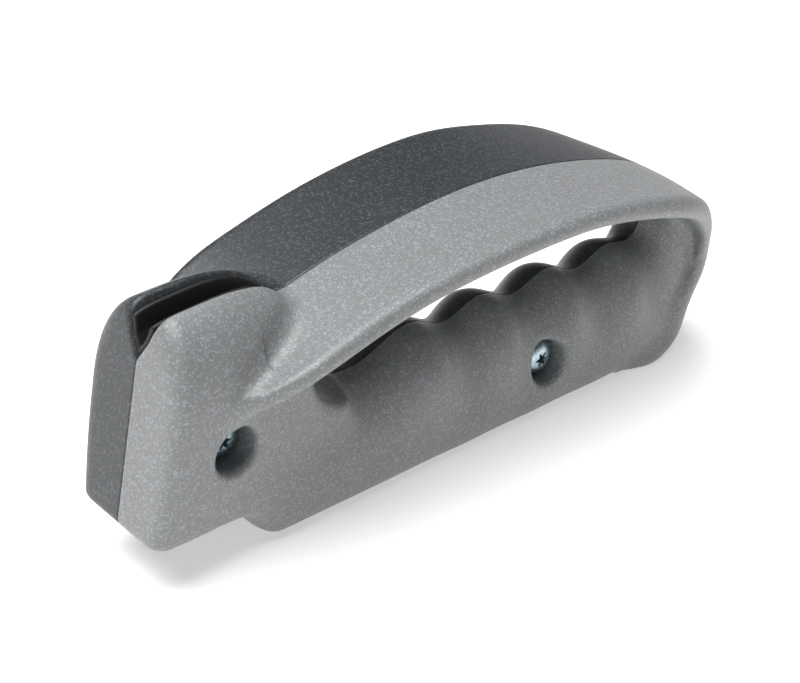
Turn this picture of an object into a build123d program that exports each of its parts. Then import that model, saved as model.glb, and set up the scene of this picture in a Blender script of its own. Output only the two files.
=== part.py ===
from build123d import *
import math
import os

# A pull-through knife sharpener, held in the fist and drawn along a standing knife.
# Millimetres. x runs from the head to the tail, y across the two case halves with the
# parting plane at zero, and z up from the base. The light half is on the near side, -y.

# Overall sizes
overall_length = 142.0
guard_top = 49.5
guard_half_width = 21.4
guard_thickness = 3.8
tail_thickness = 4.4
overrun = 2.0

# Head: an upright block with a leaning front, a knife slot in its top and rounded cheeks
head_bottom = 9.5
head_top = 47.9
head_front_drop = 1.1
head_lean = 5.2
head_half_width = 11.8
head_front_half_width = 11.5
head_waist_half_width = 8.6
head_neck_half_width = 5.0
head_length = 33.0
head_heel_length = 16.0
head_corner_radius = 3.0
head_nose_radius = 4.0
head_toe_radius = 1.8
head_bottom_radius = 3.2
cheek_depth = 13.9
cheek_rise = 0.7
cheek_end_drop = 6.6
cheek_end_length = 8.0
cheek_radius = 8.0
cheek_nose_radius = 10.6

# Finger opening between the grip and the guard
opening_end_radius = 9.5
opening_from_head = 42.5
opening_end_rise = 5.2
tail_web_half_width = 7.2
tail_web_overlap = 3.0
tail_web_drop = 2.3

# Grip: finger ridges, with flutes that run down the sides and fade out
finger_pitch = 18.0
first_ridge_from_opening = 19.5
ridge_top = 25.8
finger_depth = 2.5
index_finger_depth = 4.3
index_finger_reach = 13.5
flute_depth = 1.4
grip_half_width = 10.6
grip_tail_half_width = 9.0
grip_land_half_width = 5.0
grip_crown_half_width = 7.2
grip_middle_share = 0.42
grip_shoulder_share = 0.6
heel_rise_length = 13.0
heel_from_head = 28.0
grip_end_from_tail = 10.4
grip_end_rise = 8.4
grip_end_lift = 4.0
grip_end_lift_length = 9.0
base_trim = 0.3

# Knife slot: a V in the head's top that runs out in the root of the guard
slot_length = 31.5
slot_front_depth = 8.2
slot_rear_depth = 5.8
slot_throat_half_width = 2.1
slot_throat_rise = 3.3
slot_wall_half_width = 2.8
slot_wall_rise = 5.6
slot_mouth_half_width = 4.0
slot_mouth_rise = 9.5

# Black blade carrier, trapped in a pocket between the two halves
carrier_wall = 1.0
carrier_front_setback = 0.6
carrier_block_setback = 2.4
carrier_length = 20.0
carrier_half_width = 5.4
carrier_depth = 18.4
carrier_shoulder_depth = 4.9
carrier_ear_depth = 3.2
carrier_ear_length = 6.4
carrier_top_depth = 1.9
carrier_clearance = 0.15

# Crossed carbide blades, one behind the other along the slot
carbide_length = 12.0
carbide_width = 3.2
carbide_thickness = 1.5
carbide_lean = 25.0
carbide_crossing_depth = 5.9
carbide_share_above = 0.27
carbide_from_block = 1.4
carbide_gap = 0.2
carbide_clearance = 0.05

# Case screws, driven from the light side into brass inserts in the dark half
front_screw_from_head = 15.1
front_screw_below_carrier = 5.5
rear_screw_from_ridge = 29.2
rear_screw_z = 12.0
screw_head_radius = 3.6
screw_head_height = 2.4
screw_head_edge_radius = 0.5
screw_shank_radius = 1.75
screw_length = 12.0
screw_tip_chamfer = 0.6
screw_recess_radius = 1.15
screw_recess_lobe_radius = 0.42
screw_recess_depth = 1.5
screw_recess_lobes = 6
screw_seat_depth = 5.4
well_radius = 4.2
shank_clearance = 0.3
insert_radius = 2.8
insert_length = 7.4
insert_flange_radius = 3.4
insert_flange_thickness = 0.8
insert_setback = 0.2
insert_groove_depth = 0.3
insert_groove_width = 0.9
insert_clearance = 0.05
thread_clearance = 0.05

# Cored inside of the two halves
core_depth = 6.6
core_corner_radius = 2.0
grip_core_from_head = 38.0
grip_core_from_tail = 25.0
grip_core_bottom = 4.5
grip_core_height = 11.0
head_core_from_head = 6.0
head_core_length = 18.0
head_core_floor = 3.5
head_core_roof = 1.5
boss_radius = 5.6
rib_thickness = 2.0
rib_share = (0.24, 0.46, 0.86)

# Pegs on the dark half and sockets in the light half
peg_radius = 1.5
peg_length = 2.8
peg_clearance = 0.1
front_peg_from_head = 28.5
front_peg_z = 27.5
rear_peg_from_tail = 17.0
rear_peg_z = 12.0

# Guard stations from the root in the head, over the arch and the tail, to the foot, all
# on the parting plane; the guard's top is the height there, and its edges rise above it.
# Each row holds shares: x of half the length, z of the guard's top height, width of the
# guard's half width, thickness of the guard's thickness, and the dish, which is how far
# the edges rise over the middle (or, below zero, fall under it), of the guard's half width.
guard_station_shares = (
    (-0.852, 0.610, 0.44, 0.80, 0.01),
    (-0.768, 0.642, 0.66, 0.90, 0.07),
    (-0.683, 0.697, 0.82, 1.00, 0.12),
    (-0.592, 0.774, 0.90, 1.00, 0.08),
    (-0.472, 0.840, 0.94, 1.00, 0.05),
    (-0.324, 0.879, 0.96, 1.00, 0.065),
    (-0.155, 0.907, 0.98, 1.00, 0.09),
    (0.014, 0.933, 0.99, 1.00, 0.085),
    (0.190, 0.956, 1.00, 1.00, 0.04),
    (0.366, 0.941, 1.00, 1.00, 0.014),
    (0.535, 0.893, 0.97, 1.00, -0.014),
    (0.690, 0.820, 0.87, 1.03, -0.07),
)

# Tail stations: z as a share of the guard's top, how far the middle of the wall lies in
# front of the tail's end as a share of half the length, width and dish as shares.
tail_station_shares = (
    (0.695, 0.124, 0.70, -0.15),
    (0.590, 0.044, 0.59, -0.21),
    (0.475, 0.000, 0.525, -0.235),
    (0.345, 0.022, 0.495, -0.20),
    (0.212, 0.067, 0.48, -0.14),
    (0.100, 0.119, 0.47, -0.065),
)

# Sections of the grip behind its last ridge, as shares of the way to its end: each with
# the share of the rise towards the guard that its top has made there
grip_end_shares = (
    (0.30, 0.00),
    (0.50, 0.04),
    (0.68, 0.17),
    (0.83, 0.40),
    (0.93, 0.68),
    (1.00, 1.00),
)

# Foot stations along the base: distance in front of the tail's end as a share of half the
# length, width and dish as shares.
foot_station_shares = (
    (0.182, 0.47, -0.02),
    (0.262, 0.45, -0.01),
    (0.326, 0.34, -0.01),
)

# Places that follow from the sizes
half_length = overall_length / 2
tail_end_x = half_length
lean_slope = head_lean / (head_top - head_bottom)
# The rounded toe stands back from the meeting point of the front and the bottom
head_end_x = -half_length - lean_slope * head_toe_radius
slot_front_x = head_lean - half_length
slot_end_x = slot_length - half_length
slot_tip_front = head_top - slot_front_depth
slot_tip_rear = head_top - slot_rear_depth
cheek_start = head_top - cheek_depth

opening_end_x = opening_from_head - half_length
opening_end_z = ridge_top + opening_end_rise
heel_end_x = heel_from_head - half_length
heel_start_x = heel_end_x - heel_rise_length
grip_end_x = tail_end_x - grip_end_from_tail
quarter_pitch = finger_pitch / 4
first_ridge_x = opening_end_x + first_ridge_from_opening
# As many ridges as the grip has room for: four on this one
finger_ridges = math.floor((grip_end_x - first_ridge_x) / finger_pitch) + 1
last_ridge_x = first_ridge_x + (finger_ridges - 1) * finger_pitch

carrier_front_x = slot_front_x + carrier_front_setback
carrier_block_x = slot_front_x + carrier_block_setback
carrier_rear_x = carrier_front_x + carrier_length
carrier_bottom = head_top - carrier_depth
carrier_shoulder = head_top - carrier_shoulder_depth
carrier_ear_top = head_top - carrier_ear_depth
carrier_top = head_top - carrier_top_depth
carbide_crossing = head_top - carbide_crossing_depth
front_blade_x = carrier_block_x + carbide_from_block
rear_blade_x = front_blade_x + carbide_thickness + carbide_gap

front_screw = (front_screw_from_head - half_length, carrier_bottom - front_screw_below_carrier)
rear_screw = (first_ridge_x + rear_screw_from_ridge, rear_screw_z)
screw_places = (front_screw, rear_screw)
peg_places = ((front_peg_from_head - half_length, front_peg_z), (tail_end_x - rear_peg_from_tail, rear_peg_z))


def ease(position, start, end):
    """Share that grows smoothly from zero at start to one at end."""
    share = min(max((position - start) / (end - start), 0), 1)
    return (1 - math.cos(math.pi * share)) / 2


def cylinder_along_y(x, z, radius, low_y, high_y):
    place = Plane(origin=(x, low_y, z), x_dir=(1, 0, 0), z_dir=(0, 1, 0))
    return extrude(place * Circle(radius), amount=high_y - low_y)


def block(low_x, high_x, low_y, high_y, low_z, high_z):
    size = Box(high_x - low_x, high_y - low_y, high_z - low_z)
    return Pos((low_x + high_x) / 2, (low_y + high_y) / 2, (low_z + high_z) / 2) * size


# Guard: one strap of constant thickness, lofted through stations square to its own line

def guard_stations():
    rows = []
    for x_share, z_share, width_share, thickness_share, dish_share in guard_station_shares:
        rows.append((x_share * half_length, z_share * guard_top, width_share * guard_half_width,
                     thickness_share * guard_thickness, dish_share * guard_half_width))
    wall_middle_x = tail_end_x - tail_thickness / 2
    for z_share, front_share, width_share, dish_share in tail_station_shares:
        rows.append((wall_middle_x - front_share * half_length, z_share * guard_top,
                     width_share * guard_half_width, tail_thickness, dish_share * guard_half_width))
    for front_share, width_share, dish_share in foot_station_shares:
        rows.append((wall_middle_x - front_share * half_length, tail_thickness / 2,
                     width_share * guard_half_width, tail_thickness, dish_share * guard_half_width))
    return rows


def strap_section(before, here, after):
    """A strip of even thickness along an arc across the guard, with round edges."""
    x, z, half_width, thickness, dish = here
    along = Vector(after[0] - before[0], 0, after[1] - before[1])
    place = Plane(origin=(x, 0, z), x_dir=(0, 1, 0), z_dir=along)
    reach = half_width - thickness / 2
    return place * SlotArc(ThreePointArc((-reach, dish), (0, 0), (reach, dish)), thickness)


def guard_strap():
    rows = guard_stations()
    sections = []
    for number, here in enumerate(rows):
        before = rows[max(number - 1, 0)]
        after = rows[min(number + 1, len(rows) - 1)]
        sections.append(strap_section(before, here, after))
    return loft(sections)


# Grip: lofted through sections a quarter of a finger apart

def finger_top_and_flute(x):
    if x < first_ridge_x:
        share = ease(x, first_ridge_x, first_ridge_x - index_finger_reach)
        return ridge_top - index_finger_depth * share, share
    share = (1 - math.cos(2 * math.pi * (x - first_ridge_x) / finger_pitch)) / 2
    return ridge_top - finger_depth * share, share


def grip_section(x, top, flute):
    bottom = head_bottom * (1 - ease(x, heel_start_x, heel_end_x)) - base_trim
    bottom = bottom + grip_end_lift * ease(x, grip_end_x - grip_end_lift_length, grip_end_x)
    width = grip_half_width - (grip_half_width - grip_tail_half_width) * ease(x, last_ridge_x, grip_end_x)
    width = width - flute_depth * flute
    crown = grip_crown_half_width - flute_depth * flute
    middle = bottom + (ridge_top - finger_depth * flute - bottom) * grip_middle_share
    shoulder = middle + (top - middle) * grip_shoulder_share
    hip = middle - (middle - bottom) * grip_shoulder_share
    low = grip_land_half_width
    right_low = Bezier((low, bottom), (width - flute_depth, bottom), (width, hip), (width, middle))
    right_high = Bezier((width, middle), (width, shoulder), (crown, top), (0, top))
    left_high = Bezier((0, top), (-crown, top), (-width, shoulder), (-width, middle))
    left_low = Bezier((-width, middle), (-width, hip), (flute_depth - width, bottom), (-low, bottom))
    base = Line((-low, bottom), (low, bottom))
    place = Plane(origin=(x, 0, 0), x_dir=(0, 1, 0), z_dir=(1, 0, 0))
    return place * make_face([base, right_low, right_high, left_high, left_low])


def grip_bar():
    first = math.floor((heel_start_x - quarter_pitch - first_ridge_x) / quarter_pitch)
    last = round((last_ridge_x - first_ridge_x) / quarter_pitch)
    sections = []
    for number in range(first, last + 1):
        x = first_ridge_x + number * quarter_pitch
        sections.append(grip_section(x, *finger_top_and_flute(x)))
    for share, rise_share in grip_end_shares:
        x = last_ridge_x + share * (grip_end_x - last_ridge_x)
        sections.append(grip_section(x, ridge_top + rise_share * grip_end_rise, 0))
    return loft(sections)


# Head: a leaning plan shape, cut to its side view and to its end view

def head_plan(height):
    front = head_end_x + lean_slope * (height - head_bottom)
    back = opening_end_x
    waist = head_end_x + head_length + head_corner_radius
    shoulder = head_end_x + head_length / 2
    side = [(front, head_front_half_width), (shoulder - head_corner_radius, head_half_width),
            (shoulder + head_corner_radius, head_half_width),
            (waist, head_waist_half_width), (back, head_neck_half_width)]
    other = [(x, -y) for x, y in reversed(side)]
    radii = [head_corner_radius] + [0] * (2 * len(side) - 2) + [head_corner_radius]
    outline = FilletPolyline(side + other, radius=radii, close=True)
    return Pos(0, 0, height) * make_face(outline)


def head_side_view():
    back = opening_end_x
    heel = head_end_x + head_heel_length
    cheek_end = slot_end_x
    cheek_top = cheek_end - cheek_end_length
    front_top = head_top - head_front_drop
    front_top_x = head_end_x + lean_slope * (front_top - head_bottom)
    ledge = head_bottom + head_bottom_radius
    points = [(head_end_x, head_bottom), (front_top_x, front_top), (cheek_top, head_top),
              (cheek_end, head_top - cheek_end_drop), (back, head_top - cheek_end_drop),
              (back, ledge), (heel + head_bottom_radius, ledge), (heel, head_bottom)]
    radii = [head_toe_radius, head_nose_radius, cheek_radius, 0, 0, 0, 0, 0]
    place = Plane(origin=(0, head_half_width + overrun, 0), x_dir=(1, 0, 0), z_dir=(0, -1, 0))
    face = place * make_face(FilletPolyline(points, radius=radii, close=True))
    return extrude(face, amount=2 * (head_half_width + overrun))


def head_end_view():
    """Straight sides that run up into half an ellipse, which holds both cheeks."""
    side = head_half_width
    corner = head_bottom_radius
    arch = Pos(0, cheek_start) * Ellipse(side, cheek_depth + cheek_rise)
    straight = Pos(0, (head_bottom + cheek_start) / 2) * Rectangle(2 * side, cheek_start - head_bottom)
    straight = fillet(straight.vertices().group_by(Axis.Y)[0], corner)
    place = Plane(origin=(head_end_x - overrun, 0, 0), x_dir=(0, 1, 0), z_dir=(1, 0, 0))
    return extrude(place * (arch + straight), amount=half_length)


def behind_cheeks():
    """Space over the guard's root, behind the round ends of the two cheeks."""
    line = [(x, z) for x, z, *_ in guard_stations() if x < opening_end_x]
    top = head_top + overrun
    rest = [(line[-1][0], top), (line[0][0], top)]
    place = Plane(origin=(0, guard_half_width, 0), x_dir=(1, 0, 0), z_dir=(0, -1, 0))
    space = extrude(place * make_face(Polyline(line + rest, close=True)), amount=2 * guard_half_width)
    middle_x = slot_end_x - cheek_nose_radius
    nose = Pos(middle_x, 0, top / 2) * Cylinder(cheek_nose_radius, top)
    side = head_half_width + overrun
    return space - nose - block(head_end_x, middle_x, -side, side, 0, top)


def slot_section(x, tip, inset, raise_by):
    points = [(0, tip + raise_by),
              (slot_throat_half_width - inset, tip + slot_throat_rise + raise_by / 2),
              (slot_wall_half_width - inset, tip + slot_wall_rise),
              (slot_mouth_half_width - inset, tip + slot_mouth_rise)]
    other = [(-y, z) for y, z in reversed(points[1:])]
    place = Plane(origin=(x, 0, 0), x_dir=(0, 1, 0), z_dir=(1, 0, 0))
    return place * make_face(Polyline(points + other, close=True))


def knife_slot(start_x, end_x, inset, raise_by):
    slope = (slot_tip_rear - slot_tip_front) / (slot_end_x - slot_front_x)
    tips = [slot_tip_front + slope * (x - slot_front_x) for x in (start_x, end_x)]
    sections = [slot_section(start_x, tips[0], inset, raise_by),
                slot_section(end_x, tips[1], inset, raise_by)]
    return loft(sections, ruled=True)


def head_block():
    body = loft([head_plan(head_bottom - overrun), head_plan(head_top + overrun)], ruled=True)
    body = body & head_side_view()
    body = body & head_end_view()
    body = body - behind_cheeks()
    end = cylinder_along_y(opening_end_x, opening_end_z, opening_end_radius,
                           -head_half_width - overrun, head_half_width + overrun)
    slot = knife_slot(head_end_x - overrun, slot_end_x + overrun, 0, 0)
    return body - end - slot


def tail_web():
    """Fills the tail from the grip's end to the middle of the tail wall."""
    wall = [(x, z) for x, z, *_ in guard_stations()[len(guard_station_shares):]]
    start_x = grip_end_x - tail_web_overlap
    wall = wall[:len(tail_station_shares)]
    outline = [(start_x, ridge_top - tail_web_drop)] + wall + [(start_x, wall[-1][1])]
    place = Plane(origin=(0, tail_web_half_width, 0), x_dir=(1, 0, 0), z_dir=(0, -1, 0))
    return extrude(place * make_face(Polyline(outline, close=True)), amount=2 * tail_web_half_width)


def whole_case():
    """Both halves as one body, with the grip and the guard's foot cut flat where they rest."""
    size = overall_length
    above_base = block(-size, size, -size, size, 0, size)
    body = guard_strap() & above_base
    body = body + (grip_bar() & above_base)
    body = body + head_block()
    return body + tail_web()


# Blade carrier and carbide blades

def carrier_outside(gap):
    """The carrier's block and the ears round the blades, grown by a gap."""
    side = carrier_half_width + gap
    body = block(carrier_block_x - gap, carrier_rear_x + gap, -side, side,
                 carrier_bottom - gap, carrier_shoulder + gap)
    ears = block(carrier_block_x - gap, carrier_block_x + carrier_ear_length + gap, -side, side,
                 carrier_shoulder, carrier_ear_top + gap)
    return body + ears


def carbide_blade(side, low_x, gap, extra_length):
    """One blade that leans to the given side, grown by a gap and lengthened at its top."""
    lean = math.radians(carbide_lean)
    up = (side * math.sin(lean), math.cos(lean))
    out = (side * math.cos(lean), -math.sin(lean))
    length = carbide_length + 2 * gap + extra_length
    shift = carbide_length * (carbide_share_above - 1 / 2) + extra_length / 2
    y = up[0] * shift + out[0] * carbide_width / 2
    z = carbide_crossing + up[1] * shift + out[1] * carbide_width / 2
    blade = Box(carbide_thickness + 2 * gap, carbide_width + 2 * gap, length)
    return Pos(low_x + carbide_thickness / 2, y, z) * Rot(-side * carbide_lean, 0, 0) * blade


def blade_carrier():
    lining = knife_slot(carrier_front_x, carrier_rear_x, carrier_clearance, carrier_clearance)
    size = overall_length
    lining = lining & block(-size, size, -size, size, 0, carrier_top)
    body = carrier_outside(0) + lining
    inner = carrier_clearance + carrier_wall
    body = body - knife_slot(carrier_front_x - overrun, carrier_rear_x + overrun, inner, inner)
    for side, low_x in ((1, front_blade_x), (-1, rear_blade_x)):
        body = body - carbide_blade(side, low_x, carbide_clearance, carbide_width)
    return body


# Case screws and their inserts

def screw_recess():
    reach = screw_recess_radius
    star = Circle(reach)
    for number in range(screw_recess_lobes):
        angle = 2 * math.pi * number / screw_recess_lobes
        star += Pos(reach * math.cos(angle), reach * math.sin(angle)) * Circle(screw_recess_lobe_radius)
    return star


def case_screw(x, z):
    """A pan-headed screw with a six-lobe recess, its head towards the near side."""
    top_y = -screw_seat_depth - screw_head_height
    head = cylinder_along_y(x, z, screw_head_radius, top_y, -screw_seat_depth)
    rim = head.edges().sort_by(Axis.Y)[0]
    head = fillet(rim, screw_head_edge_radius)
    shank = cylinder_along_y(x, z, screw_shank_radius, -screw_seat_depth, screw_length - screw_seat_depth)
    shank = chamfer(shank.edges().sort_by(Axis.Y)[-1], screw_tip_chamfer)
    place = Plane(origin=(x, top_y, z), x_dir=(1, 0, 0), z_dir=(0, 1, 0))
    return head + shank - extrude(place * screw_recess(), amount=screw_recess_depth)


def threaded_insert(x, z):
    """A grooved brass insert whose flange lies just under the parting plane."""
    end_y = insert_setback + insert_length
    body = cylinder_along_y(x, z, insert_radius, insert_setback, end_y)
    flange_y = insert_setback + insert_flange_thickness
    body += cylinder_along_y(x, z, insert_flange_radius, insert_setback, flange_y)
    ring_y = flange_y + insert_groove_width
    while ring_y + 2 * insert_groove_width < end_y:
        ring = cylinder_along_y(x, z, insert_radius, ring_y, ring_y + insert_groove_width)
        ring -= cylinder_along_y(x, z, insert_radius - insert_groove_depth,
                                 ring_y, ring_y + insert_groove_width)
        body -= ring
        ring_y += 2 * insert_groove_width
    return body - cylinder_along_y(x, z, screw_shank_radius + thread_clearance, 0, end_y + overrun)


def screw_well(x, z):
    well = cylinder_along_y(x, z, well_radius, -guard_half_width, -screw_seat_depth)
    return well + cylinder_along_y(x, z, screw_shank_radius + shank_clearance, -screw_seat_depth, overrun)


def insert_hole(x, z):
    depth = insert_setback + insert_length + insert_clearance
    hole = cylinder_along_y(x, z, insert_radius + insert_clearance, -overrun, depth)
    flange_depth = insert_setback + insert_flange_thickness + insert_clearance
    return hole + cylinder_along_y(x, z, insert_flange_radius + insert_clearance, -overrun, flange_depth)


# Cores, left between ribs and screw bosses when each half is moulded

def core_face(low_x, high_x, low_z, high_z, screw, rib_xs):
    middle = ((low_x + high_x) / 2, (low_z + high_z) / 2)
    face = Pos(*middle) * RectangleRounded(high_x - low_x, high_z - low_z, core_corner_radius)
    face -= Pos(*screw) * Circle(boss_radius)
    for x in rib_xs:
        face -= Pos(x, middle[1]) * Rectangle(rib_thickness, high_z - low_z)
    return face


def cores(side):
    """The cored pockets of the half on the given side."""
    start_x = grip_core_from_head - half_length
    end_x = tail_end_x - grip_core_from_tail
    ribs = [start_x + share * (end_x - start_x) for share in rib_share] + [rear_screw[0]]
    head_start_x = head_core_from_head - half_length
    grip_face = core_face(start_x, end_x, grip_core_bottom, grip_core_bottom + grip_core_height,
                          rear_screw, ribs)
    head_face = core_face(head_start_x, head_start_x + head_core_length, head_bottom + head_core_floor,
                          carrier_bottom - head_core_roof, front_screw, [front_screw[0]])
    place = Plane(origin=(0, 0, 0), x_dir=(1, 0, 0), z_dir=(0, -1, 0))
    pockets = extrude(place * grip_face, amount=-side * core_depth)
    return pockets + extrude(place * head_face, amount=-side * core_depth)


def case_half(body, side):
    size = overall_length
    low, high = (0, size) if side > 0 else (-size, 0)
    half = body & block(-size, size, low, high, -size, size)
    return half - cores(side) - carrier_outside(carrier_clearance)


def dark_shell(body):
    half = case_half(body, 1)
    for x, z in screw_places:
        half -= insert_hole(x, z)
    for x, z in peg_places:
        half += cylinder_along_y(x, z, peg_radius, -peg_length, overrun)
    return half


def light_shell(body):
    half = case_half(body, -1)
    for x, z in screw_places:
        half -= screw_well(x, z)
    for x, z in peg_places:
        half -= cylinder_along_y(x, z, peg_radius + peg_clearance, -peg_length - peg_clearance, overrun)
    return half


def write(name, part):
    solids = part.solids()
    print(name, len(solids), "solid", round(part.volume), "cubic mm")
    export_step(part, f"parts/{name}.step")


os.makedirs("parts", exist_ok=True)
case = whole_case()
write("dark_shell", dark_shell(case))
write("light_shell", light_shell(case))
write("blade_carrier", blade_carrier())
write("front_carbide_blade", carbide_blade(1, front_blade_x, 0, 0))
write("rear_carbide_blade", carbide_blade(-1, rear_blade_x, 0, 0))
write("front_case_screw", case_screw(*front_screw))
write("rear_case_screw", case_screw(*rear_screw))
write("front_threaded_insert", threaded_insert(*front_screw))
write("rear_threaded_insert", threaded_insert(*rear_screw))
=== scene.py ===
import bpy
import bmesh
import math
import numpy as np
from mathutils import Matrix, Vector


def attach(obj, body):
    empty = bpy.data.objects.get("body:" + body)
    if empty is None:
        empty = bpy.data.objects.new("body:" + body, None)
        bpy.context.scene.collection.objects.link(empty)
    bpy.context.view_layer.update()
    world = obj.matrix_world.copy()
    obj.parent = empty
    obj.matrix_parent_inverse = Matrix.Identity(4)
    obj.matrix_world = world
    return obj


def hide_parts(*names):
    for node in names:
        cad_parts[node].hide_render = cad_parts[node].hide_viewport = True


# Pull-through knife sharpener: two moulded halves round a black blade carrier.
# x runs from head to tail, y across the halves, z up; the tables below are in millimetres.

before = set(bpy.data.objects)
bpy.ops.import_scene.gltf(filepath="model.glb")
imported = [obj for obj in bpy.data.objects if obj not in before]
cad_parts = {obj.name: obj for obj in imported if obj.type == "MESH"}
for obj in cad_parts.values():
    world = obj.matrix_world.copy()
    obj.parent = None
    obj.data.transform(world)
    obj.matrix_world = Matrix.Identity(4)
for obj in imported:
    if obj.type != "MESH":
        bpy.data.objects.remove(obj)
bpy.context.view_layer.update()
mm = 0.001
print("frame loaded")


def smoothLine(knots, values):
    # natural cubic spline through a few rows of a table
    knots = np.array(knots, float)
    values = np.array(values, float)
    gaps = np.diff(knots)
    system = np.eye(len(knots))
    right = np.zeros(values.shape)
    for i in range(1, len(knots) - 1):
        system[i, i - 1:i + 2] = gaps[i - 1], 2 * (gaps[i - 1] + gaps[i]), gaps[i]
        right[i] = 6 * ((values[i + 1] - values[i]) / gaps[i] - (values[i] - values[i - 1]) / gaps[i - 1])
    bend = np.linalg.solve(system, right)

    def at(where):
        where = np.clip(where, knots[0], knots[-1])
        i = np.clip(np.searchsorted(knots, where) - 1, 0, len(gaps) - 1)
        gap = gaps[i]
        low = (knots[i + 1] - where) / gap
        high = 1 - low
        if values.ndim > 1:
            low, high, gap = low[..., None], high[..., None], gap[..., None]
        return (low * values[i] + high * values[i + 1]
                + ((low ** 3 - low) * bend[i] + (high ** 3 - high) * bend[i + 1]) * gap ** 2 / 6)
    return at


def ease(value, start, end):
    share = np.clip((value - start) / (end - start), 0, 1)
    return (1 - np.cos(np.pi * share)) / 2


def smoothMin(a, b, reach):
    # union of two forms with a fillet where they meet
    near = np.maximum(reach - np.abs(a - b), 0) / reach
    return np.minimum(a, b) - near * near * reach / 4


def smoothMax(a, b, reach):
    return -smoothMin(-a, -b, reach)


def hexColour(code):
    # sRGB hex to linear
    parts = [int(code[i:i + 2], 16) / 255 for i in (1, 3, 5)]
    return tuple(c / 12.92 if c <= 0.04045 else ((c + 0.055) / 1.055) ** 2.4 for c in parts) + (1,)


def addNode(material, kind, settings=None, links=None):
    # one node with its settings and what is plugged into it
    tree = material if isinstance(material, bpy.types.NodeTree) else material.node_tree
    node = tree.nodes.new(kind)
    for name, value in (settings or {}).items():
        if hasattr(node, name):
            setattr(node, name, value)
        else:
            node.inputs[name].default_value = value
    for name, source in (links or {}).items():
        tree.links.new(source, node.inputs[name])
    return node


# the case as one smooth form: distance to the moulded surface, in mm
guard = {
    # x, z of the strap's middle line, half width, half thickness, rise of its edges
    "line": ((-60.5, 30.2, 9.4, 1.50, 0.1), (-54.5, 31.8, 14.2, 1.70, 1.6), (-48.5, 34.7, 17.6, 1.85, 2.2),
             (-42.0, 38.9, 19.2, 1.90, 1.2), (-33.5, 42.15, 19.6, 1.95, 0.8), (-23.0, 44.75, 20.1, 1.90, 0.9),
             (-11.0, 46.8, 20.8, 1.90, 0.8), (1.0, 47.95, 21.4, 1.90, 0.7), (13.5, 47.9, 21.6, 1.90, 0.8),
             (26.0, 46.5, 21.4, 2.00, 0.4), (38.0, 44.0, 21.0, 2.15, 0.0), (49.0, 40.5, 18.7, 2.20, -1.1),
             (60.0, 34.1, 14.3, 2.15, -3.0), (65.9, 29.2, 11.8, 2.10, -4.6), (68.6, 23.5, 10.7, 2.10, -5.2),
             (67.4, 17.0, 10.5, 2.20, -4.3), (63.4, 10.6, 10.2, 2.20, -3.1), (59.9, 5.0, 10.1, 2.20, -1.4),
             (55.6, 2.3, 10.1, 2.20, -0.4), (50.2, 2.2, 9.7, 2.20, 0.0), (45.7, 2.2, 7.2, 2.20, 0.0)),
    "tableStep": 0.3,
}
grip = {
    "pitch": 18.0, "firstRidge": -9.0, "lastRidge": 45.0, "ridgeTop": 26.2, "fingerDepth": 2.7,
    "indexDepth": 4.3, "indexReach": 13.5, "fluteDepth": 2.0,
    "halfWidth": 10.6, "tailHalfWidth": 9.0, "end": 61.0, "endRise": 9.6, "land": 4.6,
    "start": -56.0, "heelEnd": -43.0, "heelHeight": 9.5, "endBlend": 3.0,
    "middleShare": 0.42, "topPower": 2.3, "bottomPower": 2.7,  # roundness of the section above and below its middle
    "fluteFade": (4.0, 20.0), "narrowing": (47.0, 61.0), "riseStart": 1.0, "risePower": 1.9,
}
head = {
    "frontFoot": -71.0, "lean": 0.135, "bottom": 9.5, "cornerRadius": 2.6, "bottomRadius": 1.5,
    # x, half width of the sides where they are widest
    "sides": ((-72.0, 11.9), (-64.0, 12.2), (-56.0, 11.8), (-48.0, 10.8), (-42.0, 9.8), (-34.0, 8.8), (-24.0, 8.0)),
    "belly": 28.0, "bottomShare": 0.89, "cheekPower": 2.3, "cheekSize": 11.0, "edgeSpread": 1.17,
    # x, z of the top of the cheeks on the middle line
    "top": ((-72.0, 47.3), (-65.0, 47.9), (-59.0, 48.4), (-53.0, 48.6), (-49.5, 48.2), (-45.0, 46.8), (-42.0, 44.6),
            (-38.0, 40.6)),
    "shoulder": 31.0, "noseMiddle": -50.0, "noseRadius": 10.6,
    "openingMiddle": (-28.5, 31.0), "openingRadius": 9.5,
    "neckBlend": 2.0, "cheekEndBlend": 3.0,
}
slot = {
    "tipFront": 39.7, "tipRear": 42.1, "frontX": -66.6, "rearX": -39.5, "wallCosine": 0.93, "rearBlend": 1.5,
    # height over the tip, half width
    "walls": ((0.0, 0.0), (3.3, 2.1), (5.6, 2.8), (9.5, 4.0), (16.0, 6.2)),
}
wells = {"places": ((-55.9, 24.0), (20.2, 12.0)), "radius": 4.2, "floor": 5.4, "rimBlend": 1.6}
pocket = {"low": (-63.55, 29.35), "high": (-45.65, 43.15), "earX": -56.85, "earTop": 44.4, "halfWidth": 5.55}
seam = {"gap": 0.02, "bevel": 0.12}
tail = {"halfWidth": 7.2, "start": 54.5, "top": 33.0, "startBlend": 6.0, "edgeBlend": 4.0}
meeting = {"gripAndHead": 3.0, "tail": 4.0, "guard": 3.5, "slotRim": 0.9}  # reach of the fillets between the forms


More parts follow.
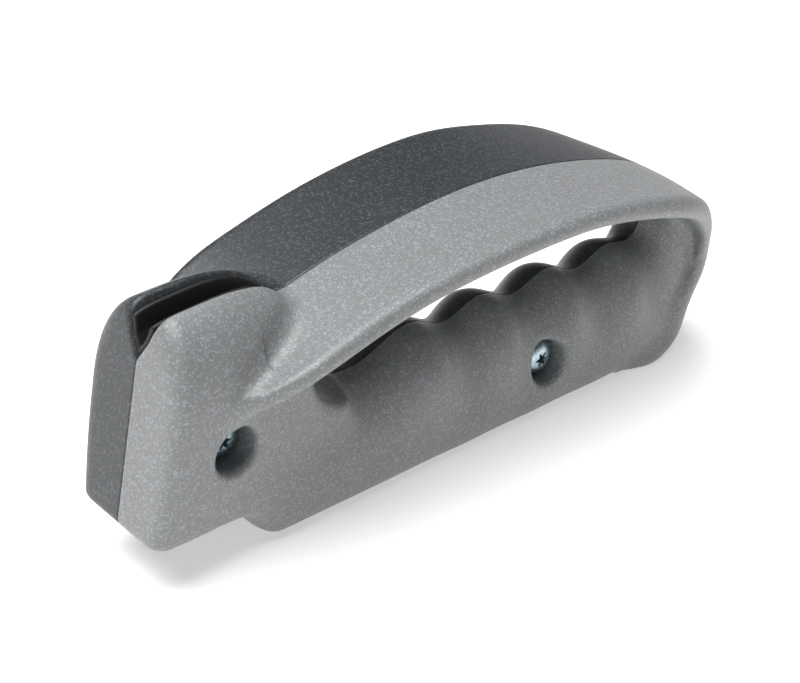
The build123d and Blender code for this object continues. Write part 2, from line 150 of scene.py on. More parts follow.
def guardTables():
    # signed height over the strap's middle line and the place along it, on a fine xz grid
    rows = np.array(guard["line"])
    run = np.concatenate([[0], np.cumsum(np.hypot(*np.diff(rows[:, :2], axis=0).T))])
    along = np.linspace(0, run[-1], 900)
    line = smoothLine(run, rows)(along)
    xs = np.arange(-76, 76, guard["tableStep"])
    zs = np.arange(-6, 56, guard["tableStep"])
    gx, gz = np.meshgrid(xs, zs, indexing="ij")
    points = np.stack([gx.ravel(), gz.ravel()], 1)
    height = np.zeros(len(points))
    place = np.zeros(len(points))
    past = np.full(len(points), -5.0)
    start, step = line[:-1, :2], np.diff(line[:, :2], axis=0)
    for low in range(0, len(points), 4000):
        part = points[low:low + 4000, None, :]
        free = ((part - start) * step).sum(2) / (step ** 2).sum(1)
        share = np.clip(free, 0, 1)
        off = part - start - share[..., None] * step
        far = (off ** 2).sum(2)
        best = far.argmin(1)
        pick = np.arange(len(best))
        off, share = off[pick, best], share[pick, best]
        length = np.hypot(*step[best].T)
        across = (step[best, 0] * off[:, 1] - step[best, 1] * off[:, 0]) / length
        over = np.maximum(free[pick, best] - 1, -free[pick, best]) * length
        ended = ((best == 0) | (best == len(step) - 1)) & (over > 0)
        height[low:low + 4000] = np.where(ended, across, np.sign(across) * np.sqrt(far[pick, best]))
        past[low:low + 4000] = np.where(ended, over, -5.0)
        place[low:low + 4000] = best + share
    return xs, zs, *(table.reshape(gx.shape) for table in (height, place, past)), line


guardGrid = guardTables()


def guardLook(table, x, z):
    # bilinear look into one of the tables
    step = guard["tableStep"]
    u = np.clip((x - guardGrid[0][0]) / step, 0, len(guardGrid[0]) - 1.001)
    v = np.clip((z - guardGrid[1][0]) / step, 0, len(guardGrid[1]) - 1.001)
    i, j = u.astype(int), v.astype(int)
    u, v = u - i, v - j
    return ((1 - u) * (1 - v) * table[i, j] + u * (1 - v) * table[i + 1, j]
            + (1 - u) * v * table[i, j + 1] + u * v * table[i + 1, j + 1])


def guardForm(x, y, z):
    height, place, past, line = guardGrid[2:]
    index = np.arange(len(line))
    where = guardLook(place, x, z)
    halfWidth, thick, dish = (np.interp(where, index, line[:, k]) for k in (2, 3, 4))
    rise = guardLook(height, x, z) - dish * (y / halfWidth) ** 2
    side = np.abs(y) - (halfWidth - thick)
    return np.maximum(np.hypot(np.maximum(side, 0), rise) - thick, guardLook(past, x, z))


def ridgeTop(x):
    # height of the grip's top and the share of a finger valley there
    first, last = grip["firstRidge"], grip["lastRidge"]
    valley = (1 - np.cos(2 * np.pi * (x - first) / grip["pitch"])) / 2
    valley = np.where(x > last, np.where(x > last + grip["pitch"] / 2, 1, valley), valley)
    index = ease(x, first, first - grip["indexReach"])
    top = grip["ridgeTop"] - np.where(x < first, grip["indexDepth"] * index, grip["fingerDepth"] * valley)
    flute = np.where(x < first, index, valley)
    start = last + grip["riseStart"]
    rise = np.clip((x - start) / (grip["end"] - start), 0, 1) ** grip["risePower"]
    return top + grip["endRise"] * rise, flute * (1 - rise)


def gripForm(x, y, z):
    top, flute = ridgeTop(x)
    bottom = grip["heelHeight"] * (1 - ease(x, grip["start"], grip["heelEnd"]))
    middle = bottom + (grip["ridgeTop"] - grip["fingerDepth"] * flute - bottom) * grip["middleShare"]
    fade = ease(z, *grip["fluteFade"])
    width = grip["halfWidth"] - (grip["halfWidth"] - grip["tailHalfWidth"]) * ease(x, *grip["narrowing"])
    width = width - grip["fluteDepth"] * flute * fade
    upper = z > middle
    land = np.where(upper, 0, grip["land"])
    across = np.maximum(np.abs(y) - land, 0) / (width - land)
    tall = np.where(upper, (z - middle) / (top - middle), (middle - z) / (middle - bottom))
    power = np.where(upper, grip["topPower"], grip["bottomPower"])
    total = np.maximum(across ** power + np.maximum(tall, 0) ** power, 0.02)
    size = total ** (1 / power)
    slopeY = across ** (power - 1) / (width - land)
    slopeZ = np.maximum(tall, 0) ** (power - 1) / np.where(upper, top - middle, middle - bottom)
    slope = total ** (1 / power - 1) * np.hypot(slopeY, slopeZ)
    body = (size - 1) / np.maximum(slope, 0.03)
    body = smoothMax(body, x - grip["end"], grip["endBlend"])
    return smoothMax(body, grip["start"] - x, grip["endBlend"])


headSides = smoothLine(*zip(*head["sides"]))
headTop = smoothLine(*zip(*head["top"]))


def headForm(x, y, z):
    front = -(x - head["frontFoot"] - head["lean"] * (z - head["bottom"])) / math.hypot(1, head["lean"])
    low = np.maximum(head["belly"] - z, 0) / (head["belly"] - head["bottom"])
    side = headSides(x) * (1 - (1 - head["bottomShare"]) * low ** 2)
    tall = np.maximum(z - head["shoulder"], 0) / (headTop(x) - head["shoulder"])
    power = head["cheekPower"]
    cheek = (((np.abs(y) / side) ** power + tall ** power) ** (1 / power) - 1) * head["cheekSize"]
    body = smoothMax(smoothMax(cheek, front, head["edgeSpread"] * head["cornerRadius"]),
                     head["bottom"] - z, head["edgeSpread"] * head["bottomRadius"])
    # the cheeks end in a round nose over the root of the guard
    nose = np.hypot(np.maximum(x - head["noseMiddle"], 0), y) - head["noseRadius"]
    nose = np.where(x < head["noseMiddle"], x - head["noseMiddle"] - head["noseRadius"], nose)
    xs, zs = head["openingMiddle"]
    hole = head["openingRadius"] - np.hypot(x - xs, z - zs)
    neck = smoothMax(smoothMax(hole, x - xs, 1.0), strapAbove(x, z), head["neckBlend"])
    return smoothMax(body, smoothMin(nose, neck, head["neckBlend"]), head["cheekEndBlend"])


def strapAbove(x, z):
    # how far a point lies above the middle line of the guard's root
    root = guardGrid[5][:420]
    return z - np.interp(x, root[:, 0], root[:, 1])


def slotForm(x, y, z):
    slope = (slot["tipRear"] - slot["tipFront"]) / (slot["rearX"] - slot["frontX"])
    rise = z - slot["tipFront"] - slope * (x - slot["frontX"])
    heights, widths = zip(*slot["walls"])
    wide = np.interp(rise, heights, widths)
    wall = np.where(rise < 0, np.hypot(y, rise), (np.abs(y) - wide) * slot["wallCosine"])
    return smoothMax(wall, x - slot["rearX"], slot["rearBlend"])


def boxForm(x, y, z, low, high):
    far = [np.maximum(a - v, v - b) for v, a, b in zip((x, y, z), low, high)]
    return np.maximum(np.maximum(far[0], far[1]), far[2])


def tailWeb(x, y, z):
    # fills the tail between the grip's end and the middle of the strap
    inside = np.maximum(np.abs(y) - tail["halfWidth"], guardLook(guardGrid[2], x, z))
    return smoothMax(inside, smoothMax(tail["start"] - x, z - tail["top"], tail["startBlend"]), tail["edgeBlend"])


def uncutForm(x, y, z):
    body = smoothMin(gripForm(x, y, z), headForm(x, y, z), meeting["gripAndHead"])
    body = smoothMin(body, tailWeb(x, y, z), meeting["tail"])
    return smoothMin(body, guardForm(x, y, z), meeting["guard"])


def caseForm(x, y, z):
    y = np.abs(y)
    body = smoothMax(uncutForm(x, y, z), -slotForm(x, y, z), meeting["slotRim"])
    low, high = pocket["low"], pocket["high"]
    wide = pocket["halfWidth"]
    room = boxForm(x, y, z, (low[0], -wide, low[1]), (high[0], wide, high[1]))
    ears = boxForm(x, y, z, (low[0], -wide, low[1]), (pocket["earX"], wide, pocket["earTop"]))
    body = np.maximum(body, -np.minimum(room, ears))
    return np.maximum(body, -z)


def wellForm(x, y, z):
    # straight wells for the two case screws, with softly rounded rims
    nearest = None
    for wx, wz in wells["places"]:
        well = np.maximum(np.hypot(x - wx, z - wz) - wells["radius"], wells["floor"] - y)
        nearest = well if nearest is None else np.minimum(nearest, well)
    return nearest


caseGrid = {
    # start, end and cell in mm; the head gets the finer cells
    "headX": (-72.2, -37.9, 0.42), "gripX": (-37.7, 72.4, 0.62), "y": (0.74, 23.0, 0.5), "z": (-1.1, 51.2, 0.5),
    "seamCell": 0.24, "settleTurns": 3, "settleStep": 0.25, "slopeStep": 0.02,
}
caseCells = (np.concatenate([np.arange(*caseGrid["headX"]), np.arange(*caseGrid["gripX"])]),
             np.concatenate([[-caseGrid["seamCell"], caseGrid["seamCell"]], np.arange(*caseGrid["y"])]),
             np.arange(*caseGrid["z"]))


def wrapHalf(form, cells=caseCells):
    # surface nets on a grid whose first layer lies on the parting plane
    xs, ys, zs = cells
    gx, gy, gz = np.meshgrid(xs, ys, zs, indexing="ij")
    value = form(gx, gy, gz)
    inside = value < 0
    count = sum(inside[a:len(xs) - 1 + a, b:len(ys) - 1 + b, c:len(zs) - 1 + c].astype(int)
                for a in (0, 1) for b in (0, 1) for c in (0, 1))
    touched = np.argwhere((count > 0) & (count < 8))
    number = -np.ones(count.shape, int)
    number[tuple(touched.T)] = np.arange(len(touched))
    total = np.zeros((len(touched), 3))
    crossings = np.zeros(len(touched))
    grid = (xs, ys, zs)
    for axis in range(3):
        others = [k for k in range(3) if k != axis]
        for a in (0, 1):
            for b in (0, 1):
                first = touched.copy()
                first[:, others[0]] += a
                first[:, others[1]] += b
                second = first.copy()
                second[:, axis] += 1
                v0, v1 = value[tuple(first.T)], value[tuple(second.T)]
                cross = (v0 < 0) != (v1 < 0)
                share = np.where(cross, v0 / np.where(cross, v0 - v1, 1), 0)
                p0 = np.stack([grid[k][first[:, k]] for k in range(3)], 1)
                p1 = np.stack([grid[k][second[:, k]] for k in range(3)], 1)
                total += np.where(cross[:, None], p0 + share[:, None] * (p1 - p0), 0)
                crossings += cross
    points = total / crossings[:, None]
    onSeam = touched[:, 1] == 0
    points[onSeam, 1] = 0
    faces = []
    for axis in range(3):
        others = [k for k in range(3) if k != axis]
        low = inside[tuple(slice(None, -1) if k == axis else slice(None) for k in range(3))]
        high = inside[tuple(slice(1, None) if k == axis else slice(None) for k in range(3))]
        edges = np.argwhere(low != high)
        keep = np.ones(len(edges), bool)
        for k in others:
            keep &= (edges[:, k] > 0) & (edges[:, k] < number.shape[k])
        edges = edges[keep]
        outward = low[tuple(edges.T)]
        ring = []
        for a, b in ((0, 0), (1, 0), (1, 1), (0, 1)):
            cell = edges.copy()
            cell[:, others[0]] -= a
            cell[:, others[1]] -= b
            ring.append(number[tuple(cell.T)])
        quad = np.stack(ring, 1)
        flip = outward if axis == 1 else ~outward
        quad[flip] = quad[flip][:, ::-1]
        onPlane = onSeam[quad].all(1)
        faces.append(quad[~onPlane])
    faces = np.concatenate(faces)

    def slope(p, size=caseGrid["slopeStep"]):
        out = np.zeros(p.shape)
        for k in range(3):
            shift = np.zeros(3)
            shift[k] = size
            out[:, k] = (form(*(p + shift).T) - form(*(p - shift).T)) / (2 * size)
        return out
    for turn in range(caseGrid["settleTurns"]):
        grad = slope(points)
        grad[onSeam, 1] = 0
        move = -form(*points.T)[:, None] * grad / np.maximum((grad ** 2).sum(1), 0.2)[:, None]
        length = np.linalg.norm(move, axis=1)[:, None]
        points = points + move * np.minimum(1, caseGrid["settleStep"] / np.maximum(length, 1e-9))
    return points, faces, onSeam, slope(points)


def halfMesh(name, form, side, material):
    points, faces, onSeam, grad = wrapHalf(form)
    used = np.zeros(len(points), bool)
    used[faces.ravel()] = True
    seamOf = {}
    points[onSeam, 1] = seam["gap"] + seam["bevel"]
    flat = grad * [1, 0, 1]
    flat /= np.maximum(np.linalg.norm(flat, axis=1), 1e-6)[:, None]
    inner = points - seam["bevel"] * flat
    inner[:, 1] = seam["gap"]
    scale = np.array([1, side, 1]) * mm
    bm = bmesh.new()
    verts = [bm.verts.new(p * scale) if use else None for p, use in zip(points, used)]
    for quad in faces:
        ids = list(dict.fromkeys(quad))
        if len(ids) > 2:
            try:
                bm.faces.new([verts[i] for i in (ids if side > 0 else ids[::-1])])
            except ValueError:
                pass
    bm.verts.ensure_lookup_table()
    index = {v: i for i, v in enumerate(verts) if v is not None}
    rim = [e for e in bm.edges if e.is_boundary]
    for e in rim:
        for v in e.verts:
            if v not in seamOf:
                seamOf[v] = bm.verts.new(inner[index[v]] * scale)
    lips = []
    for e in rim:
        loop = e.link_loops[0]
        a, b = loop.vert, loop.link_loop_next.vert
        bm.faces.new([b, a, seamOf[a], seamOf[b]])
        lips.append((seamOf[a], seamOf[b]))
    edges = [bm.edges.get(pair) for pair in lips]
    before = set(bm.faces)
    bmesh.ops.triangle_fill(bm, edges=edges, use_beauty=True, use_dissolve=False, normal=(0, -side, 0))
    for face in bm.faces:
        face.smooth = face in before
    for face in set(bm.faces) - before:
        if face.normal.y * side > 0:
            face.normal_flip()
        for e in face.edges:
            if any(f in before for f in e.link_faces):
                e.smooth = False
    bm.normal_update()
    print(name, len(bm.faces), "faces", sum(e.is_boundary for e in bm.edges), "open edges",
          sum(not e.is_manifold for e in bm.edges), "odd edges")
    mesh = bpy.data.meshes.new(name)
    bm.to_mesh(mesh)
    bm.free()
    piece = bpy.data.objects.new(name, mesh)
    bpy.context.scene.collection.objects.link(piece)
    mesh.materials.append(material)
    return piece


def mouldedAbs(name, base, grain, glintShade, share, roughness):
    # moulded satin ABS with a fine grain; bright flecks painted into its colour on every face stand in for the glints
    # of its textured surface (painted highlight)
    material = bpy.data.materials.new(name)
    material.use_nodes = True
    tree = material.node_tree
    shader = tree.nodes["Principled BSDF"]
    shader.inputs["IOR"].default_value = 1.54
    place = addNode(material, "ShaderNodeTexCoord").outputs["Object"]
    # painted glint cells: the real glints are under 0.1 mm; 0.28 mm is the finest that still reads in the render
    glintCells = addNode(material, "ShaderNodeTexVoronoi", {"Scale": 3600.0}, {"Vector": place})
    # moulded grain of about 0.7 mm, and slow patches of about 20 mm
    dust = addNode(material, "ShaderNodeTexNoise", {"Scale": 1500.0, "Detail": 3.0, "Roughness": 0.75},
                   {"Vector": place})
    wave = addNode(material, "ShaderNodeTexNoise", {"Scale": 45.0, "Detail": 2.0}, {"Vector": place})
    body = addNode(material, "ShaderNodeValToRGB", None, {"Fac": dust.outputs["Fac"]})
    body.color_ramp.elements[0].position, body.color_ramp.elements[0].color = 0.30, hexColour(base)
    body.color_ramp.elements[1].position, body.color_ramp.elements[1].color = 0.72, hexColour(grain)
    pick = addNode(material, "ShaderNodeSeparateColor", None, {"Color": glintCells.outputs["Color"]})
    lit = addNode(material, "ShaderNodeMath", {"operation": "GREATER_THAN"}, None)
    tree.links.new(pick.outputs["Red"], lit.inputs[0])
    lit.inputs[1].default_value = 1 - share
    # painted highlight: in the masked cells the bright glint shade replaces the base colour, whichever way the face
    # is turned
    colour = addNode(material, "ShaderNodeMix", {"data_type": "RGBA"}, None)
    tree.links.new(lit.outputs["Value"], colour.inputs[0])
    tree.links.new(body.outputs["Color"], colour.inputs[6])
    colour.inputs[7].default_value = hexColour(glintShade)
    tree.links.new(colour.outputs[2], shader.inputs["Base Color"])
    # satin patches from the mould's polish
    gloss = addNode(material, "ShaderNodeMapRange", {"To Min": roughness - 0.05, "To Max": roughness + 0.07},
                    {"Value": wave.outputs["Fac"]})
    tree.links.new(gloss.outputs["Result"], shader.inputs["Roughness"])
    bump = addNode(material, "ShaderNodeBump", {"Strength": 0.35, "Distance": 0.00003},
                   {"Height": dust.outputs["Fac"]})
    tree.links.new(bump.outputs["Normal"], shader.inputs["Normal"])
    return material


def metalFinish(name, low, high, roughness, grain, bumpDepth):
    # metal with a fine grain of two shades; the grain also roughens it
    material = bpy.data.materials.new(name)
    material.use_nodes = True
    tree = material.node_tree
    shader = tree.nodes["Principled BSDF"]
    shader.inputs["Metallic"].default_value = 1.0
    place = addNode(material, "ShaderNodeTexCoord").outputs["Object"]
    noise = addNode(material, "ShaderNodeTexNoise", {"Scale": grain, "Detail": 4.0, "Roughness": 0.6},
                    {"Vector": place})
    shade = addNode(material, "ShaderNodeValToRGB", None, {"Fac": noise.outputs["Fac"]})
    shade.color_ramp.elements[0].position, shade.color_ramp.elements[0].color = 0.3, hexColour(low)
    shade.color_ramp.elements[1].position, shade.color_ramp.elements[1].color = 0.7, hexColour(high)
    rough = addNode(material, "ShaderNodeMapRange", {"To Min": roughness - 0.06, "To Max": roughness + 0.1},
                    {"Value": noise.outputs["Fac"]})
    bump = addNode(material, "ShaderNodeBump", {"Strength": 0.4, "Distance": bumpDepth},
                   {"Height": noise.outputs["Fac"]})
    tree.links.new(shade.outputs["Color"], shader.inputs["Base Color"])
    tree.links.new(rough.outputs["Result"], shader.inputs["Roughness"])
    tree.links.new(bump.outputs["Normal"], shader.inputs["Normal"])
    return material


def plasticFinish(name, low, high, roughness, grain, glow=0.0):
    # plain plastic or paint with a soft mottle
    material = bpy.data.materials.new(name)
    material.use_nodes = True
    tree = material.node_tree
    shader = tree.nodes["Principled BSDF"]
    shader.inputs["Roughness"].default_value = roughness
    shader.inputs["IOR"].default_value = 1.5
    place = addNode(material, "ShaderNodeTexCoord").outputs["Object"]
    noise = addNode(material, "ShaderNodeTexNoise", {"Scale": grain, "Detail": 3.0}, {"Vector": place})
    shade = addNode(material, "ShaderNodeValToRGB", None, {"Fac": noise.outputs["Fac"]})
    shade.color_ramp.elements[0].position, shade.color_ramp.elements[0].color = 0.3, hexColour(low)
    shade.color_ramp.elements[1].position, shade.color_ramp.elements[1].color = 0.7, hexColour(high)
    tree.links.new(shade.outputs["Color"], shader.inputs["Base Color"])
    if glow:
        tree.links.new(shade.outputs["Color"], shader.inputs["Emission Color"])
        shader.inputs["Emission Strength"].default_value = glow
    return material


# charcoal and mid grey satin plastic, each with bluish painted glints (painted highlight) mixed into its colour
darkAbs = mouldedAbs("darkAbsWithPaintedGlints", "#232628", "#2e3134", "#454950", 0.16, 0.42)
lightAbs = mouldedAbs("lightAbsWithPaintedGlints", "#727473", "#7d7f80", "#8d9098", 0.18, 0.45)
# swallows the light in the slot
blackNylon = plasticFinish("mouldedBlackNylon", "#060707", "#0b0c0c", 0.55, 1200.0)
# dull dark grey metal, cold bluish plating, and warm brass that is seen only inside
groundCarbide = metalFinish("groundCarbide", "#34393a", "#4a5152", 0.38, 2400.0, 0.00001)
zincSteel = metalFinish("zincPlatedSteel", "#8fa3ad", "#c3d2d9", 0.26, 1600.0, 0.00002)
turnedBrass = metalFinish("turnedBrass", "#b8924a", "#d2b06a", 0.32, 900.0, 0.00002)

darkCase = halfMesh("darkCase", caseForm, 1, darkAbs)
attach(darkCase, "root")
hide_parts("dark_shell")


def lightForm(x, y, z):
    return smoothMax(caseForm(x, y, z), -wellForm(x, y, z), wells["rimBlend"])


lightCase = halfMesh("lightCase", lightForm, -1, lightAbs)
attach(lightCase, "root")
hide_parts("light_shell")
print("case halves made")

carrier = {
    "wall": 0.85, "play": 0.05, "blockLow": (-63.4, 29.5), "blockHigh": (-45.75, 43.0), "halfWidth": 5.4,
    "earX": -57.0, "earTop": 44.3, "setBack": 0.35, "rearEnd": -40.9, "underRim": 0.35, "cell": 0.24, "rounding": 0.4,
    "gridX": (-67.4, -40.0), "gridY": 6.4, "gridZ": (28.9, 48.4),
    # x, z of the slot's rims
    "rim": ((-67.0, 45.6), (-65.0, 46.3), (-59.0, 47.2), (-52.6, 47.6), (-49.4, 47.4), (-45.0, 46.0), (-42.6, 44.4),
            (-40.0, 42.0)),
}
rimHeight = smoothLine(*zip(*carrier["rim"]))


def carrierForm(x, y, z):
    wall = slotForm(x, y, z)
    soft = carrier["rounding"]
    lean = (x - head["frontFoot"] - head["lean"] * (z - head["bottom"])) / math.hypot(1, head["lean"])
    lining = smoothMax(wall + carrier["play"], z - rimHeight(x) + carrier["underRim"], soft)
    lining = smoothMax(lining, smoothMax(carrier["setBack"] - lean, x - carrier["rearEnd"], soft), soft)
    low, high, wide = carrier["blockLow"], carrier["blockHigh"], carrier["halfWidth"]
    block = boxForm(x, y, z, (low[0], -wide, low[1]), (high[0], wide, high[1]))
    ears = boxForm(x, y, z, (low[0], -wide, low[1]), (carrier["earX"], wide, carrier["earTop"]))
    body = np.minimum(lining, np.minimum(block, ears))
    return smoothMax(body, -(wall + carrier["wall"]), 0.3)


def carrierMesh():
    cell = carrier["cell"]
    cells = (np.arange(*carrier["gridX"], cell),
             np.concatenate([[-cell / 2], np.arange(cell / 2, carrier["gridY"], cell)]),
             np.arange(*carrier["gridZ"], cell))
    points, faces, onSeam, grad = wrapHalf(carrierForm, cells)
    used = np.zeros(len(points), bool)
    used[faces.ravel()] = True
    points[onSeam, 1] = 0
    bm = bmesh.new()
    sides = []
    for side in (1, -1):
        verts = [bm.verts.new(p * [1, side, 1] * mm) if use else None for p, use in zip(points, used)]
        for quad in faces:
            ids = list(dict.fromkeys(quad))
            if len(ids) > 2:
                bm.faces.new([verts[i] for i in (ids if side > 0 else ids[::-1])])
        sides.append(verts)
    onLine = [v for verts in sides for v, seamed in zip(verts, onSeam) if v is not None and seamed]
    bmesh.ops.remove_doubles(bm, verts=onLine, dist=1e-6)
    bmesh.ops.recalc_face_normals(bm, faces=bm.faces)
    for face in bm.faces:
        face.smooth = True
    print("bladeCarrier", len(bm.faces), "faces", sum(e.is_boundary for e in bm.edges), "open edges",
          sum(not e.is_manifold for e in bm.edges), "odd edges")
    mesh = bpy.data.meshes.new("bladeCarrier")
    bm.to_mesh(mesh)
    bm.free()
    piece = bpy.data.objects.new("bladeCarrier", mesh)
    bpy.context.scene.collection.objects.link(piece)
    mesh.materials.append(blackNylon)
    return piece


bladeCarrier = carrierMesh()
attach(bladeCarrier, "root")
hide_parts("blade_carrier")
print("carrier made")

for node, material in (("front_carbide_blade", groundCarbide), ("rear_carbide_blade", groundCarbide),
                       ("front_threaded_insert", turnedBrass), ("rear_threaded_insert", turnedBrass)):
    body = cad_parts[node]
    body.data.materials.clear()
    body.data.materials.append(material)

screw = {
    # radius and y of the turned profile, from the tip to the edge of the driver recess
    "profile": ((1.15, 6.6), (1.5, 6.3), (1.5, -5.1), (1.72, -5.4), (3.42, -5.4), (3.6, -5.55), (3.6, -6.25),
                (3.5, -6.7), (3.2, -7.1), (2.7, -7.45), (2.2, -7.66), (1.78, -7.78)),
    # radius, lobe and y of the rings of the six-lobe recess
    "recess": ((1.24, 0.42, -7.8), (1.15, 0.42, -7.7), (1.08, 0.40, -6.35), (0.8, 0.25, -6.3)),
    "segments": 48, "tipRise": 0.1, "recessRise": 0.05, "sharpAngle": 0.6,
    "pitch": 1.2, "threadRadius": 1.5, "threadDepth": 0.25, "threadLength": 9.6, "threadStart": -3.2, "turnSteps": 24,
}


def screwBlank():
    # one screw without its thread, turned about the y axis
    bm = bmesh.new()
    count = screw["segments"]
    angles = [2 * math.pi * i / count for i in range(count)]
    rings = [[r * mm] * count for r, y in screw["profile"]]
    heights = [y for r, y in screw["profile"]]
    for r, lobe, y in screw["recess"]:
        rings.append([(r + lobe * math.cos(6 * a)) * mm for a in angles])
        heights.append(y)
    loops = [[bm.verts.new((r * math.cos(a), y * mm, r * math.sin(a))) for r, a in zip(ring, angles)]
             for ring, y in zip(rings, heights)]
    for lower, upper in zip(loops, loops[1:]):
        for i in range(count):
            bm.faces.new((lower[i - 1], lower[i], upper[i], upper[i - 1]))
    for loop, y in ((loops[0], heights[0] + screw["tipRise"]), (loops[-1], heights[-1] + screw["recessRise"])):
        pole = bm.verts.new((0, y * mm, 0))
        for i in range(count):
            bm.faces.new((loop[i - 1], loop[i], pole))
    bmesh.ops.recalc_face_normals(bm, faces=bm.faces)
    for face in bm.faces:
        face.smooth = True
    for edge in bm.edges:
        edge.smooth = edge.calc_face_angle(0) < screw["sharpAngle"]
    mesh = bpy.data.meshes.new("screwBlank")
    bm.to_mesh(mesh)
    bm.free()
    return bpy.data.objects.new("screwBlank", mesh)


def screwTree():
    # one blank and one wound thread, set at every well
    tree = bpy.data.node_groups.new("caseScrewSet", "GeometryNodeTree")
    face = tree.interface
    face.new_socket("Wells", in_out="INPUT", socket_type="NodeSocketGeometry")
    face.new_socket("Blank", in_out="INPUT", socket_type="NodeSocketObject")
    face.new_socket("Plating", in_out="INPUT", socket_type="NodeSocketMaterial")
    for name in ("Thread radius", "Thread depth", "Thread length", "Pitch"):
        face.new_socket(name, in_out="INPUT", socket_type="NodeSocketFloat")
    face.new_socket("Screws", in_out="OUTPUT", socket_type="NodeSocketGeometry")
    given = addNode(tree, "NodeGroupInput").outputs
    blank = addNode(tree, "GeometryNodeObjectInfo", None, {"Object": given["Blank"]})
    turns = addNode(tree, "ShaderNodeMath", {"operation": "DIVIDE"})
    tree.links.new(given["Thread length"], turns.inputs[0])
    tree.links.new(given["Pitch"], turns.inputs[1])
    coil = addNode(tree, "GeometryNodeCurveSpiral", {"Resolution": screw["turnSteps"]},
                   {"Rotations": turns.outputs["Value"], "Start Radius": given["Thread radius"],
                    "End Radius": given["Thread radius"], "Height": given["Thread length"]})
    ridge = addNode(tree, "GeometryNodeCurvePrimitiveCircle", {"Resolution": 4}, {"Radius": given["Thread depth"]})
    wound = addNode(tree, "GeometryNodeCurveToMesh", {"Fill Caps": True},
                    {"Curve": coil.outputs["Curve"], "Profile Curve": ridge.outputs["Curve"]})
    laid = addNode(tree, "GeometryNodeTransform",
                   {"Rotation": (math.radians(-90), 0, 0), "Translation": (0, screw["threadStart"] * mm, 0)},
                   {"Geometry": wound.outputs["Mesh"]})
    whole = addNode(tree, "GeometryNodeJoinGeometry")
    tree.links.new(blank.outputs["Geometry"], whole.inputs["Geometry"])
    tree.links.new(laid.outputs["Geometry"], whole.inputs["Geometry"])
    placed = addNode(tree, "GeometryNodeInstanceOnPoints", None,
                     {"Points": given["Wells"], "Instance": whole.outputs["Geometry"]})
    solid = addNode(tree, "GeometryNodeRealizeInstances", None, {"Geometry": placed.outputs["Instances"]})
    plated = addNode(tree, "GeometryNodeSetMaterial", None,
                     {"Geometry": solid.outputs["Geometry"], "Material": given["Plating"]})
    addNode(tree, "NodeGroupOutput", None, {"Screws": plated.outputs["Geometry"]})
    return tree


def caseScrewSet():
    mesh = bpy.data.meshes.new("caseScrewWells")
    mesh.from_pydata([(x * mm, 0, z * mm) for x, z in wells["places"]], [], [])
    piece = bpy.data.objects.new("caseScrews", mesh)
    bpy.context.scene.collection.objects.link(piece)
    blank = screwBlank()
    bpy.context.scene.collection.objects.link(blank)
    tree = screwTree()
    nodes = piece.modifiers.new("caseScrewSet", "NODES")
    nodes.node_group = tree
    values = {"Blank": blank, "Plating": zincSteel, "Thread radius": screw["threadRadius"] * mm,
              "Thread depth": screw["threadDepth"] * mm, "Thread length": screw["threadLength"] * mm,
              "Pitch": screw["pitch"] * mm}
    for item in tree.interface.items_tree:
        if item.in_out == "INPUT" and item.name in values:
            nodes[item.identifier] = values[item.name]
    graph = bpy.context.evaluated_depsgraph_get()
    made = bpy.data.meshes.new_from_object(piece.evaluated_get(graph), preserve_all_data_layers=True,
                                           depsgraph=graph)
    piece.modifiers.clear()
    piece.data = made
    made.name = "caseScrews"
    bpy.data.meshes.remove(mesh)
    bpy.data.objects.remove(blank)
    print("caseScrews", len(made.polygons), "faces")
    return piece


caseScrews = caseScrewSet()
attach(caseScrews, "root")
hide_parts("front_case_screw", "rear_case_screw")
print("screws made")

studio = {
    "floorSize": 3.0, "floor": ("#f4f4f3", "#f7f7f6"), "floorGlow": 0.45, "horizon": 0.66, "zenith": 0.07,
    "horizonEnds": 0.14, "zenithStarts": 0.42,
    "lampPlace": (-0.20, 0.10, 0.75), "lampAim": (0, 0, 0.02), "lampSize": (0.7, 0.7), "lampPower": 11,
    "cameraPlace": (-186.934, -174.133, 169.150), "cameraTurn": (59.3564, -4.3494, -42.7842), "lens": 72.72,
}


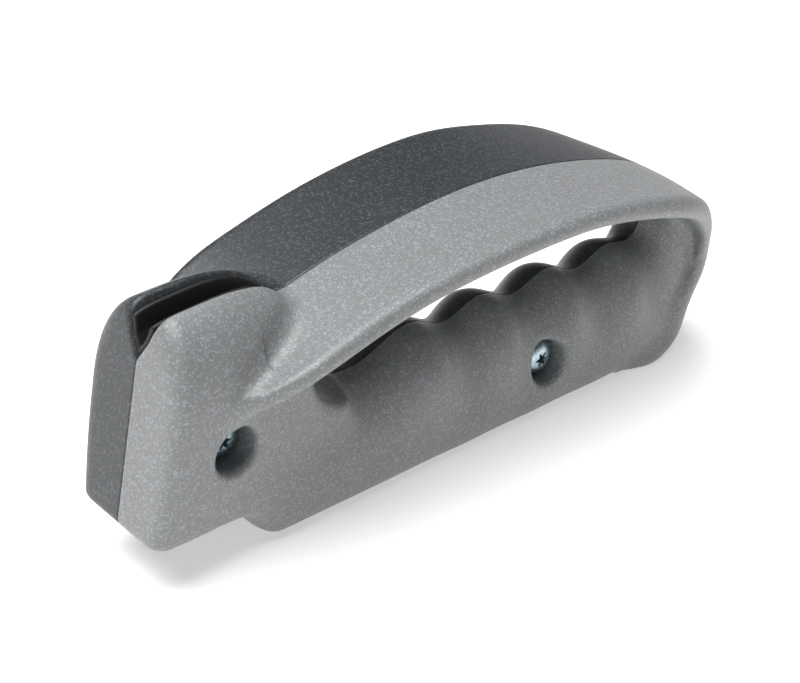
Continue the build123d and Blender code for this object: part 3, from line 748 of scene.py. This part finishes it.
def studioFloor():
    # a lit white acrylic table, so that the background clips to white and the shadow stays faint
    bm = bmesh.new()
    half = studio["floorSize"] / 2
    corners = [bm.verts.new((x * half, y * half, 0)) for x, y in ((-1, -1), (1, -1), (1, 1), (-1, 1))]
    bm.faces.new(corners)
    mesh = bpy.data.meshes.new("studioFloor")
    bm.to_mesh(mesh)
    bm.free()
    floor = bpy.data.objects.new("studioFloor", mesh)
    bpy.context.scene.collection.objects.link(floor)
    mesh.materials.append(plasticFinish("litAcrylicTable", *studio["floor"], 0.7, 30.0, studio["floorGlow"]))


def softLight(name, place, aim, size, power):
    lamp = bpy.data.lights.new(name, "AREA")
    lamp.shape = "RECTANGLE"
    lamp.size, lamp.size_y = size
    lamp.energy = power
    light = bpy.data.objects.new(name, lamp)
    bpy.context.scene.collection.objects.link(light)
    light.location = place
    light.rotation_euler = (Vector(aim) - Vector(place)).to_track_quat("-Z", "Y").to_euler()


studioFloor()
softLight("topSoftbox", studio["lampPlace"], studio["lampAim"], studio["lampSize"], studio["lampPower"])


def studioAir():
    # a white sweep round the table under a dark ceiling
    world = bpy.data.worlds.new("studioAir")
    world.use_nodes = True
    place = addNode(world, "ShaderNodeTexCoord")
    parts = addNode(world, "ShaderNodeSeparateXYZ", None, {"Vector": place.outputs["Generated"]})
    ramp = addNode(world, "ShaderNodeValToRGB", None, {"Fac": parts.outputs["Z"]})
    stops = ramp.color_ramp.elements
    stops[0].position, stops[0].color = studio["horizonEnds"], (studio["horizon"],) * 3 + (1,)
    stops[1].position, stops[1].color = studio["zenithStarts"], (studio["zenith"],) * 3 + (1,)
    world.node_tree.links.new(ramp.outputs["Color"], world.node_tree.nodes["Background"].inputs["Color"])
    bpy.context.scene.world = world


studioAir()
bpy.context.scene.view_settings.view_transform = "Standard"

lens = bpy.data.cameras.new("photoCamera")
lens.lens = studio["lens"]
lens.sensor_width = 36
lens.clip_start = 0.01
camera = bpy.data.objects.new("photoCamera", lens)
bpy.context.scene.collection.objects.link(camera)
camera.location = [v * mm for v in studio["cameraPlace"]]
camera.rotation_euler = [math.radians(v) for v in studio["cameraTurn"]]
bpy.context.scene.camera = camera
print("studio ready")
